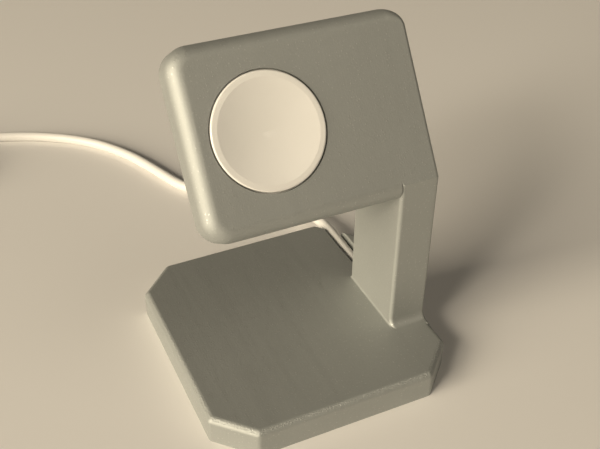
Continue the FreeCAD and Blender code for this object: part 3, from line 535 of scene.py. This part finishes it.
class Growth:
    """Starts, ends and runs geometry node trees with named inputs."""

    @staticmethod
    def start(name: str, values: dict[str, float]) -> tuple[Sheet, Node]:
        """Starts a tree.

        Args:
            name: the tree's name.
            values: names of the number inputs and what they start at.

        Returns:
            The tree's sheet, and its input node with Geometry, the numbers and Material.
        """
        tree = bpy.data.node_groups.new(name, "GeometryNodeTree")
        tree.interface.new_socket("Geometry", in_out="INPUT", socket_type="NodeSocketGeometry")
        for label, value in values.items():
            socket = tree.interface.new_socket(label, in_out="INPUT", socket_type="NodeSocketFloat")
            socket.default_value = value
        tree.interface.new_socket("Material", in_out="INPUT", socket_type="NodeSocketMaterial")
        tree.interface.new_socket("Geometry", in_out="OUTPUT", socket_type="NodeSocketGeometry")
        sheet = Sheet(tree)
        return sheet, sheet.add("NodeGroupInput")

    @staticmethod
    def end(sheet: Sheet, given: Node, geometry: Socket) -> Tree:
        """Ends a tree in Set Shade Smooth, Realize Instances and Set Material.

        Args:
            sheet: the tree's sheet.
            given: its input node.
            geometry: what the tree has made.

        Returns:
            The finished tree.
        """
        smooth = sheet.add("GeometryNodeSetShadeSmooth", {"Geometry": geometry})
        real = sheet.add("GeometryNodeRealizeInstances", {"Geometry": smooth.outputs["Geometry"]})
        dressed = sheet.add("GeometryNodeSetMaterial", {
            "Geometry": real.outputs["Geometry"], "Material": given.outputs["Material"]})
        sheet.add("NodeGroupOutput", {"Geometry": dressed.outputs["Geometry"]})
        return sheet.tree

    @staticmethod
    def run(name: str, carrier: bpy.types.Mesh, tree: Tree, values: dict[str, object]) -> bpy.types.Object:
        """Runs a tree on a mesh and keeps the result as a plain piece.

        Args:
            name: the finished piece's name.
            carrier: the mesh that the tree starts from.
            tree: the geometry node tree.
            values: named inputs of the tree and what they are set to.

        Returns:
            The finished piece, with no modifier left on it.
        """
        holder = place_piece(f"{name}_carrier", carrier)
        modifier = holder.modifiers.new("growth", "NODES")
        modifier.node_group = tree
        for item in tree.interface.items_tree:
            if item.in_out == "INPUT" and item.name in values:
                modifier[item.identifier] = values[item.name]
        done = mesh_of(holder)
        done.name = name
        bpy.data.objects.remove(holder)
        return place_piece(name, done)


class BeadScatter:
    """Small flattened beads of print along the top edge of a bevel."""

    SEED = 7
    BALL_DETAIL = 2

    # the least and the most lean of the faces that get beads, by their normal's Z
    LEAN_LEAST = 0.72
    LEAN_MOST = 0.9

    # a bead's width in parts of the full one, and its height in parts of its width
    WIDTH_LEAST = 0.55
    WIDTH_MOST = 1.0
    FLATNESS = 0.30

    # sockets of the Random Value node that hold a number's ends, and the one that gives the number
    RANDOM_LEAST = 2
    RANDOM_MOST = 3
    RANDOM_NUMBER = 1

    @classmethod
    def tree(cls) -> Tree:
        """Builds the tree: points on the bevel's faces, and a flattened ball on each.

        Returns:
            The geometry node tree.
        """
        sheet, start = Growth.start("bead_scatter", {
            "Lowest": 0.0, "Highest": 0.0, "Front Limit": 0.0, "Density": 1.0, "Radius": 0.1 * MM})
        given = start.outputs
        place = sheet.add("GeometryNodeInputPosition").outputs[0]
        along = sheet.add("ShaderNodeSeparateXYZ", {0: place}).outputs
        normal = sheet.add("GeometryNodeInputNormal").outputs[0]
        lean = sheet.add("ShaderNodeSeparateXYZ", {0: normal}).outputs
        chosen = sheet.maths("GREATER_THAN", along["Z"], given["Lowest"])
        for rule in (sheet.maths("LESS_THAN", along["Z"], given["Highest"]),
                     sheet.maths("LESS_THAN", along["Y"], given["Front Limit"]),
                     sheet.maths("GREATER_THAN", lean["Z"], cls.LEAN_LEAST),
                     sheet.maths("LESS_THAN", lean["Z"], cls.LEAN_MOST)):
            chosen = sheet.maths("MULTIPLY", chosen, rule)
        points = sheet.add("GeometryNodeDistributePointsOnFaces", {
            "Mesh": given["Geometry"], "Selection": chosen, "Density": given["Density"], "Seed": cls.SEED})
        ball = sheet.add("GeometryNodeMeshIcoSphere", {
            "Radius": given["Radius"], "Subdivisions": cls.BALL_DETAIL})
        random = sheet.add("FunctionNodeRandomValue", {
            cls.RANDOM_LEAST: cls.WIDTH_LEAST, cls.RANDOM_MOST: cls.WIDTH_MOST, "Seed": cls.SEED})
        width = random.outputs[cls.RANDOM_NUMBER]
        flat = sheet.add("ShaderNodeCombineXYZ", {
            0: width, 1: width, 2: sheet.maths("MULTIPLY", width, cls.FLATNESS)})
        beads = sheet.add("GeometryNodeInstanceOnPoints", {
            "Points": points.outputs["Points"], "Instance": ball.outputs["Mesh"],
            "Rotation": points.outputs["Rotation"], "Scale": flat.outputs[0]})
        return Growth.end(sheet, start, beads.outputs["Instances"])


class WindingTree:
    """Two flat layers of wire, each a spiral about Z, one above the other."""

    POINTS_PER_TURN = 48
    WIRE_SIDES = 8

    # how far each layer lies from the middle, in radii of the wire
    LAYERS = (1.02, -1.02)

    @classmethod
    def tree(cls) -> Tree:
        """Builds the tree from the inner and outer radius, the wire and the number of turns.

        Returns:
            The geometry node tree.
        """
        sheet, start = Growth.start("coil_winding", {
            "Inner Radius": 1.0, "Outer Radius": 2.0, "Wire Radius": 0.1, "Turns": 10.0})
        given = start.outputs
        ring = sheet.add("GeometryNodeCurvePrimitiveCircle", {
            "Resolution": cls.WIRE_SIDES, "Radius": given["Wire Radius"]})
        layers = sheet.add("GeometryNodeJoinGeometry")
        for level in cls.LAYERS:
            path = sheet.add("GeometryNodeCurveSpiral", {
                "Resolution": cls.POINTS_PER_TURN, "Rotations": given["Turns"],
                "Start Radius": given["Inner Radius"], "End Radius": given["Outer Radius"],
                "Height": 0.0, "Reverse": level < 0})
            wire = sheet.add("GeometryNodeCurveToMesh", {
                "Curve": path.outputs["Curve"], "Profile Curve": ring.outputs["Curve"],
                "Fill Caps": True})
            lift = sheet.add("ShaderNodeCombineXYZ", {
                2: sheet.maths("MULTIPLY", given["Wire Radius"], level)})
            moved = sheet.add("GeometryNodeTransform", {
                "Geometry": wire.outputs["Mesh"], "Translation": lift.outputs[0]})
            sheet.feed(layers.inputs[0], moved.outputs["Geometry"])
        return Growth.end(sheet, start, layers.outputs["Geometry"])


@dataclass
class PrintedStand:
    """The printed piece: base, post and head in one."""

    frame: dict
    finish: Finish
    weld: float = 0.002 * MM
    flat_turn: float = math.radians(0.4)
    hard_turn: float = math.radians(28)
    slack: float = 0.02 * MM
    edge: float = 0.2 * MM
    edge_steps: int = 3
    base_height: float = 7.0 * MM
    base_bevel: float = 1.0 * MM
    base_softness: float = 0.44 * MM
    base_steps: int = 5
    base_profile: float = 0.5
    bead_radius: float = 0.18 * MM
    beads_per_square_metre: float = 2.2e7
    bead_reach: float = 0.7

    def build(self) -> None:
        """Makes the stand with softened edges, and the small beads on its base's front bevel."""
        body = self.round_edges(self.soften_base())
        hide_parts("stand")
        body.data.materials.clear()
        body.data.materials.append(self.finish.build())
        beads = self.beads_on(body)
        for piece in (body, beads):
            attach(piece, "root")
            LOG.info("%s has %d faces", piece.name, len(piece.data.polygons))

    def soften_base(self) -> bpy.types.Mesh:
        """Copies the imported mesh, joins its triangles into faces and softens the base's bevel.

        Returns:
            The new mesh.
        """
        mesh = self.frame["nodes"]["stand"].data.copy()
        work = bmesh.new()
        work.from_mesh(mesh)
        bmesh.ops.remove_doubles(work, verts=work.verts, dist=self.weld)
        bmesh.ops.dissolve_limit(work, angle_limit=self.flat_turn, use_dissolve_boundaries=False,
                                 verts=work.verts, edges=work.edges, delimit={"NORMAL"})
        rim = [edge for edge in work.edges if self.is_base_rim(edge)]
        bmesh.ops.bevel(work, geom=rim, offset=self.base_softness, offset_type="OFFSET",
                        segments=self.base_steps, profile=self.base_profile, affect="EDGES",
                        clamp_overlap=False)
        LOG.info("the base has %d softened edges", len(rim))
        work.to_mesh(mesh)
        work.free()
        return mesh

    def is_base_rim(self, edge: bmesh.types.BMEdge) -> bool:
        """Whether a hard edge runs level at the top or the foot of the base's bevel.

        Args:
            edge: an edge of the stand. At the foot of the post and along the channel, edges lie at
                the same height, and count too.

        Returns:
            True where the edge gets softened.
        """
        first, second = (vertex.co for vertex in edge.verts)
        level = abs(first.z - second.z) < self.slack
        at_top = abs(first.z - self.base_height) < self.slack
        at_foot = abs(first.z - (self.base_height - self.base_bevel)) < self.slack
        hard = edge.is_manifold and edge.calc_face_angle() > self.hard_turn
        return level and (at_top or at_foot) and hard

    def round_edges(self, mesh: bpy.types.Mesh) -> bpy.types.Object:
        """Rounds the hard edges that are left.

        Args:
            mesh: the stand with its softened base.

        Returns:
            The stand as a plain piece.
        """
        smooth_by_angle(mesh, self.hard_turn)
        body = place_piece("stand_blank", mesh)
        bevel = body.modifiers.new("edges", "BEVEL")
        bevel.width = self.edge
        bevel.segments = self.edge_steps
        bevel.limit_method = "ANGLE"
        bevel.angle_limit = self.hard_turn
        bevel.use_clamp_overlap = True
        shading = body.modifiers.new("shading", "WEIGHTED_NORMAL")
        shading.keep_sharp = True
        done = mesh_of(body)
        done.name = "stand_print"
        bpy.data.objects.remove(body)
        return place_piece("stand_print", done)

    def beads_on(self, body: bpy.types.Object) -> bpy.types.Object:
        """Scatters the nozzle's beads on the base's front bevel.

        Args:
            body: the finished stand, whose faces carry the beads.

        Returns:
            The beads as one piece.
        """
        return Growth.run("stand_beads", body.data.copy(), BeadScatter.tree(), {
            "Lowest": self.base_height - self.base_softness,
            "Highest": self.base_height,
            "Front Limit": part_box("stand")[0].y * self.bead_reach,
            "Density": self.beads_per_square_metre,
            "Radius": self.bead_radius,
            "Material": self.finish.build(),
        })


@dataclass
class ChargingPuck:
    """The magnetic puck in the head, and what it holds."""

    frame: dict
    finishes: dict[Slot, Finish]
    wire_turns: float = 10.0
    wire_share: float = 0.97
    coil_inner: float = 6.6 * MM
    coil_outer: float = 10.8 * MM
    coil_thickness: float = 0.8 * MM

    PARTS = {
        "puck_housing": Slot.PUCK_METAL,
        "charging_face": Slot.PUCK_FACE,
        "ferrite_shield": Slot.FERRITE,
        "centre_magnet": Slot.MAGNET,
        "magnet_yoke": Slot.STEEL,
        "adhesive_pad": Slot.PAD,
        "circuit_board": Slot.BOARD,
        "board_chips": Slot.CHIP,
        "puck_strain_relief": Slot.CABLE,
    }

    def build(self) -> None:
        """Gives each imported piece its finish, and winds the coil."""
        for node, slot in self.PARTS.items():
            dress_node(self.frame, node, self.finishes[slot])
        self.wind_coil()

    def wind_coil(self) -> None:
        """Winds the flat copper coil, two layers of wire, in the place of its plain ring."""
        full = self.coil_thickness / (2 * len(WindingTree.LAYERS))
        wire = full * self.wire_share
        winding = Growth.run("coil_winding", bpy.data.meshes.new("seed"), WindingTree.tree(), {
            "Inner Radius": self.coil_inner + wire,
            "Outer Radius": self.coil_outer - wire,
            "Wire Radius": wire,
            "Turns": self.wire_turns,
            "Material": self.finishes[Slot.COPPER].build(),
        })
        low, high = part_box("charging_coil")
        winding.data.transform(Matrix.Translation((low + high) / 2) @ PuckAxis().lean())
        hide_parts("charging_coil")
        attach(winding, "root")
        LOG.info("coil_winding has %d faces", len(winding.data.polygons))


@dataclass
class ChargingCable:
    """The cable: the stretch in the dock, the free cord behind it, and the plug.

    The radius is in metres. The coil's sizes and the route's points are in millimetres, and its angles
    in degrees.
    """

    frame: dict
    finishes: dict[Slot, Finish]
    radius: float = 1.5 * MM
    coil_centre: tuple[float, float] = (-83.7, 111.5)
    coil_radius: float = 21.5
    turns: int = 7
    entry_angle: float = 73.1
    exit_angle: float = 180.0
    pitch: float = 3.0
    steps: int = 24
    stub: float = 12.0

    # the height of the cord's middle on the table, and its points from the dock to the coil
    LYING = 1.5
    ROUTE = (
        (25.25, 27.75, 5.05), (25.25, 36.75, 5.05), (22.8, 46.3, LYING), (13.6, 55.8, LYING),
        (-2.6, 69.4, LYING), (-7.0, 81.2, LYING), (-12.6, 95.2, LYING), (-22.5, 109.0, LYING),
        (-37.8, 119.2, LYING), (-55.5, 125.4, LYING),
    )

    # the cord's last stretch to the plug, and the height of the plug's middle
    TAIL = 12.0
    PLUG_HEIGHT = 3.1
    PLUG_PARTS = {
        "plug_strain_relief": Slot.PLUG_WHITE,
        "plug_grip": Slot.PLUG_WHITE,
        "plug_shell": Slot.PLUG_STEEL,
        "plug_insert": Slot.INSERT,
        "plug_contacts": Slot.GOLD,
    }

    def on_coil(self, angle: float, radius: float, height: float) -> Point:
        """A point of the coil, at an angle, a radius and a height."""
        turn = math.radians(angle)
        return (self.coil_centre[0] + radius * math.cos(turn),
                self.coil_centre[1] + radius * math.sin(turn), height)

    def ahead(self, point: Point, angle: float, distance: float) -> Point:
        """A point further along the winding's direction at an angle."""
        turn = math.radians(angle)
        return (point[0] - math.sin(turn) * distance, point[1] + math.cos(turn) * distance, point[2])

    def coil_points(self) -> list[Point]:
        """Winds the coil: inwards on the lower layer, then outwards on the upper one.

        Returns:
            The control points between the coil's first and last one.
        """
        whole = 360.0 * self.turns + self.exit_angle - self.entry_angle
        count = round(whole / 360.0 * self.steps)
        # the spline passes inside its points, so they stand out by this factor
        outset = 2.0 / (1.0 + math.cos(math.pi / self.steps))
        points = []
        for index in range(1, count):
            share = index / count
            angle = self.entry_angle + whole * share
            turns_in = min(share, 1.0 - share) * whole / 360.0
            radius = (self.coil_radius - self.pitch * turns_in) * outset
            # half way, the cord climbs to the upper layer within one turn, level at both ends
            climb = min(max((share - 0.5) * count / self.steps + 0.5, 0.0), 1.0)
            height = self.LYING + self.pitch * climb * climb * (3.0 - 2.0 * climb)
            points.append(self.on_coil(angle, radius, height))
        return points

    def route(self) -> list[Point]:
        """Puts the cord's route together, from the dock to the plug.

        Returns:
            Every control point of the cord.
        """
        joins = self.on_coil(self.entry_angle, self.coil_radius, self.LYING)
        leaves = self.on_coil(self.exit_angle, self.coil_radius, self.LYING + self.pitch)
        end = self.ahead(leaves, self.exit_angle, self.stub)
        plug = self.ahead(leaves, self.exit_angle, self.stub + self.TAIL)
        third = self.TAIL / 3
        low = (end[0], end[1], self.PLUG_HEIGHT)
        return [*self.ROUTE, self.ahead(joins, self.entry_angle, -self.stub), joins,
                *self.coil_points(), leaves, end,
                self.ahead(end, self.exit_angle, third),
                self.ahead(low, self.exit_angle, 2 * third),
                (plug[0], plug[1], self.PLUG_HEIGHT)]

    def draw_curve(self) -> bpy.types.Curve:
        """Draws the cord as one smooth spline along its route.

        Returns:
            The curve, in metres.
        """
        curve = bpy.data.curves.new("charging_cable", "CURVE")
        curve.dimensions = "3D"
        curve.bevel_depth = self.radius
        curve.bevel_resolution = 6
        curve.resolution_u = 4
        curve.use_fill_caps = True
        spline = curve.splines.new("NURBS")
        points = self.route()
        spline.points.add(len(points) - 1)
        for point, place in zip(spline.points, points):
            point.co = (*(value * MM for value in place), 1.0)
        spline.order_u = 3
        spline.use_endpoint_u = True
        curve.materials.append(self.finishes[Slot.CABLE].build())
        LOG.info("charging_cable has %d control points", len(points))
        return curve

    def build(self) -> None:
        """Lays the cord, and dresses the stretch in the dock and the plug."""
        cord = bpy.data.objects.new("charging_cable", self.draw_curve())
        bpy.context.scene.collection.objects.link(cord)
        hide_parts("cable_run", "cable_coil", "cable_tail")
        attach(cord, "root")
        for node, slot in self.PLUG_PARTS.items():
            dress_node(self.frame, node, self.finishes[slot])
        dress_node(self.frame, "cable_in_dock", self.finishes[Slot.CABLE])


@dataclass(frozen=True)
class PhotoCamera:
    """The camera of the photograph, found from the dock's edges, with its angles in degrees."""

    place: Point = (-0.071045, -0.154866, 0.161800)
    azimuth: float = -25.35
    elevation: float = 36.70
    roll: float = 0.72
    focal_pixels: float = 934.64
    picture_width: float = 600.0
    sensor: float = 36.0
    nearest: float = 0.01

    def build(self) -> None:
        """Makes the camera and uses it."""
        turn, rise, lean = map(math.radians, (self.azimuth, self.elevation, self.roll))
        back = Vector((math.sin(turn) * math.cos(rise), -math.cos(turn) * math.cos(rise), math.sin(rise)))
        level = Vector((math.cos(turn), math.sin(turn), 0.0))
        upward = back.cross(level)
        right = level * math.cos(lean) + upward * math.sin(lean)
        above = upward * math.cos(lean) - level * math.sin(lean)
        data = bpy.data.cameras.new("photo_camera")
        data.sensor_width = self.sensor
        data.sensor_fit = "HORIZONTAL"
        data.lens = self.focal_pixels / self.picture_width * self.sensor
        data.clip_start = self.nearest
        camera = bpy.data.objects.new("photo_camera", data)
        axes = Matrix((right, above, back)).transposed().to_4x4()
        camera.matrix_world = Matrix.Translation(self.place) @ axes
        bpy.context.scene.collection.objects.link(camera)
        bpy.context.scene.camera = camera


@dataclass(frozen=True)
class SoftLight:
    """One square soft box, pointed at the dock's middle."""

    name: str
    place: Point
    size: float
    power: float
    colour: Colour
    target: Point = (0.0, 0.0, 0.03)

    def build(self) -> None:
        """Hangs the soft box and points it at its target."""
        data = bpy.data.lights.new(self.name, "AREA")
        data.size = self.size
        data.energy = self.power
        data.color = self.colour
        lamp = bpy.data.objects.new(self.name, data)
        aim = Vector(self.target) - Vector(self.place)
        turn = aim.to_track_quat("-Z", "Y").to_matrix().to_4x4()
        lamp.matrix_world = Matrix.Translation(self.place) @ turn
        bpy.context.scene.collection.objects.link(lamp)


@dataclass
class Studio:
    """The pale floor, the soft lights and the camera."""

    floor_size: float = 9.0
    floor_colour: Colour = (0.84, 0.825, 0.81)
    floor_roughness: float = 0.85
    sky: Colour = (1.0, 0.92, 0.74)
    sky_strength: float = 0.030
    lights: tuple[SoftLight, ...] = (
        SoftLight("lamp_left", (-0.62, -0.38, 0.50), size=0.16, power=1.5, colour=(1.0, 0.88, 0.70)),
        SoftLight("window_left", (-3.04, -0.68, 1.17), size=2.1, power=153.0, colour=(1.0, 0.865, 0.65)),
        SoftLight("ceiling", (0.44, -0.60, 1.12), size=0.9, power=2.3, colour=(1.0, 0.88, 0.70)),
        SoftLight("room_right", (0.95, 0.80, 0.80), size=1.0, power=0.1, colour=(1.0, 0.87, 0.70)),
    )

    def build(self) -> None:
        """Sets up the floor, the lights, the world and the camera."""
        self.lay_floor()
        for light in self.lights:
            light.build()
        world = bpy.data.worlds.new("room")
        world.use_nodes = True
        background = world.node_tree.nodes["Background"]
        background.inputs["Color"].default_value = (*self.sky, 1.0)
        background.inputs["Strength"].default_value = self.sky_strength
        bpy.context.scene.world = world
        bpy.context.scene.view_settings.view_transform = "Standard"
        PhotoCamera().build()

    def lay_floor(self) -> None:
        """Lays one pale sheet, level with the base's underside."""
        half = self.floor_size / 2
        mesh = bpy.data.meshes.new("floor")
        corners = [(-half, -half, 0.0), (half, -half, 0.0), (half, half, 0.0), (-half, half, 0.0)]
        mesh.from_pydata(corners, [], [(0, 1, 2, 3)])
        floor = place_piece("floor", mesh)
        material = bpy.data.materials.new("pale_floor")
        material.use_nodes = True
        shader = material.node_tree.nodes["Principled BSDF"]
        shader.inputs["Base Color"].default_value = (*self.floor_colour, 1.0)
        shader.inputs["Roughness"].default_value = self.floor_roughness
        mesh.materials.append(material)


def main() -> None:
    """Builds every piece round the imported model."""
    logging.basicConfig(level=logging.INFO, format="%(name)s: %(message)s")
    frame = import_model()
    dress = finishes()
    PrintedStand(frame, dress[Slot.PRINT]).build()
    ChargingPuck(frame, dress).build()
    ChargingCable(frame, dress).build()
    Studio().build()


if __name__ == "__main__":
    main()
